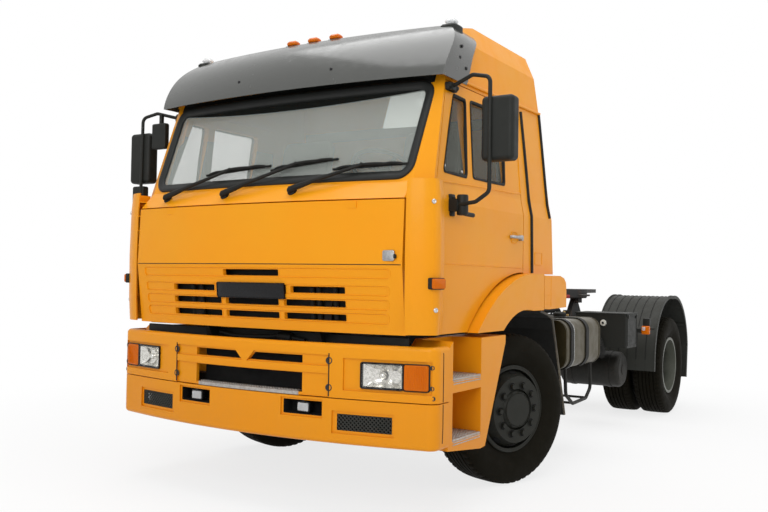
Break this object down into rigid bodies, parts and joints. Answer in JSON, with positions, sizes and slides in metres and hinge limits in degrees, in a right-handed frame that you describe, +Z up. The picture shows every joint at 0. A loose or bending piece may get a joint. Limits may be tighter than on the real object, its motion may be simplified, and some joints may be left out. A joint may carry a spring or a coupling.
{
  "type": "semi truck tractor unit",
  "caption": "Two-axle cab-over tractor unit with sleeper cab, twin rear tyres and a fifth wheel, for towing semi-trailers on the road.",
  "frame": {"origin": "on the ground, at the middle of the vehicle's overall length and width", "axes": "+X to the vehicle's own left, -Y forward, +Z up"},
  "size_m": [3.132, 6.2399, 3.1852],
  "materials": {
    "cab_yellow": "semi-gloss yellow paint",
    "cast_dark": "dusty cast iron",
    "dash": "grey moulded plastic",
    "engine": "grey cast iron",
    "fabric": "dark grey cloth",
    "frame_black": "matt black chassis paint",
    "glass": "lightly tinted glass",
    "lamp_amber": "amber lens",
    "lamp_clear": "clear lens with reflector",
    "lamp_red": "red lens",
    "plastic_black": "textured black plastic",
    "plastic_yellow": "yellow coloured plastic panels",
    "rubber": "black rubber",
    "steel_greased": "greased black steel",
    "tank": "dark bronze grey paint",
    "tyre": "black rubber",
    "visor": "smoked acrylic",
    "wheel_dark": "dark grey painted steel, brake dust",
    "wheel_grey": "grey painted steel, dusty"
  },
  "bodies": {
    "chassis": {"frame": "frame_black", "bumper_beam": "frame_black", "bumper_upper": "plastic_yellow", "bumper_lower": "plastic_yellow", "headlamps": "lamp_clear", "turn_signals": "lamp_amber", "front_axle": "cast_dark", "rear_axle": "cast_dark", "leaf_springs": "cast_dark", "engine_block": "engine", "driveline": "cast_dark", "radiator": "plastic_black", "step_boxes": "plastic_yellow", "fuel_tanks": "tank", "tank_guards": "frame_black", "air_tanks": "frame_black", "side_boxes": "plastic_black", "rear_mudguards": "plastic_black", "rear_arches": "plastic_yellow", "mud_flaps": "rubber", "cab_mounts": "frame_black", "fifth_wheel_base": "steel_greased", "tail_lamps": "lamp_red"},
    "cab": {"cab_shell": "cab_yellow", "roof_fairing": "plastic_yellow", "sun_visor": "visor", "windscreen": "glass", "corner_deflectors": "plastic_yellow", "wheel_arches": "plastic_yellow", "cab_tilt_tube": "frame_black", "seats": "fabric", "bunk": "fabric", "dashboard": "dash", "steering_wheel": "plastic_black", "roof_lamps": "lamp_amber"},
    "front_flap": {"front_flap": "cab_yellow", "grille_panel": "plastic_yellow"},
    "door_left": {"door_left": "cab_yellow", "door_glass_left": "glass", "mirror_left": "plastic_black"},
    "knuckle_left": {"knuckle_left": "cast_dark"},
    "wheel_front_left": {"tyre_front_left": "tyre", "wheel_front_left": "wheel_dark"},
    "wheel_rear_left": {"tyre_rear_left": "tyre", "wheel_rear_left": "wheel_grey"},
    "door_right": {"door_right": "cab_yellow", "door_glass_right": "glass", "mirror_right": "plastic_black"},
    "knuckle_right": {"knuckle_right": "cast_dark"},
    "wheel_front_right": {"tyre_front_right": "tyre", "wheel_front_right": "wheel_dark"},
    "wheel_rear_right": {"tyre_rear_right": "tyre", "wheel_rear_right": "wheel_grey"},
    "tie_rod": {"tie_rod": "cast_dark"},
    "fifth_wheel": {"fifth_wheel_plate": "steel_greased"}
  },
  "joints": [
    {"name": "cab_tilt", "type": "hinge", "parent": "chassis", "child": "cab", "pos_m": [0, -2.942, 1.1], "axis": [1, 0, 0], "range_deg": [0, 42]},
    {"name": "front_flap_lift", "type": "hinge", "parent": "cab", "child": "front_flap", "pos_m": [0, -3.078, 1.849], "axis": [-1, 0, 0], "range_deg": [0, 80]},
    {"name": "door_left_swing", "type": "hinge", "parent": "cab", "child": "door_left", "pos_m": [1.165, -2.792, 2], "axis": [0, 0, -1], "range_deg": [0, 70]},
    {"name": "door_right_swing", "type": "hinge", "parent": "cab", "child": "door_right", "pos_m": [-1.165, -2.792, 2], "axis": [0, 0, 1], "range_deg": [0, 70]},
    {"name": "steer_left", "type": "hinge", "parent": "chassis", "child": "knuckle_left", "pos_m": [0.875, -1.53, 0.516], "axis": [0, 0, 1], "range_deg": [-19.6, 60.4]},
    {"name": "steer_right", "type": "hinge", "parent": "chassis", "child": "knuckle_right", "pos_m": [-0.875, -1.53, 0.516], "axis": [0, 0, 1], "range_deg": [-19.6, 60.4]},
    {"name": "tie_rod_swing", "type": "hinge", "parent": "knuckle_left", "child": "tie_rod", "pos_m": [0.94471, -1.34254, 0.395], "axis": [0, 0, 1], "range_deg": [-60.4, 19.6]},
    {"name": "spin_front_left", "type": "hinge", "parent": "knuckle_left", "child": "wheel_front_left", "pos_m": [0.875, -1.53, 0.516], "axis": [0.9373, -0.3486, 0], "continuous": true},
    {"name": "spin_front_right", "type": "hinge", "parent": "knuckle_right", "child": "wheel_front_right", "pos_m": [-0.875, -1.53, 0.516], "axis": [-0.9373, 0.3486, 0], "continuous": true},
    {"name": "spin_rear_left", "type": "hinge", "parent": "chassis", "child": "wheel_rear_left", "pos_m": [1.091, 2.42, 0.516], "axis": [1, 0, 0], "continuous": true},
    {"name": "spin_rear_right", "type": "hinge", "parent": "chassis", "child": "wheel_rear_right", "pos_m": [-1.091, 2.42, 0.516], "axis": [-1, 0, 0], "continuous": true},
    {"name": "fifth_wheel_rock", "type": "hinge", "parent": "chassis", "child": "fifth_wheel", "pos_m": [0, 1.87, 1.215], "axis": [1, 0, 0], "range_deg": [-12, 12]}
  ],
  "couplings": [
    {"joint": "steer_right", "follows": "steer_left", "ratio": 1},
    {"joint": "tie_rod_swing", "follows": "steer_left", "ratio": -1}
  ]
}
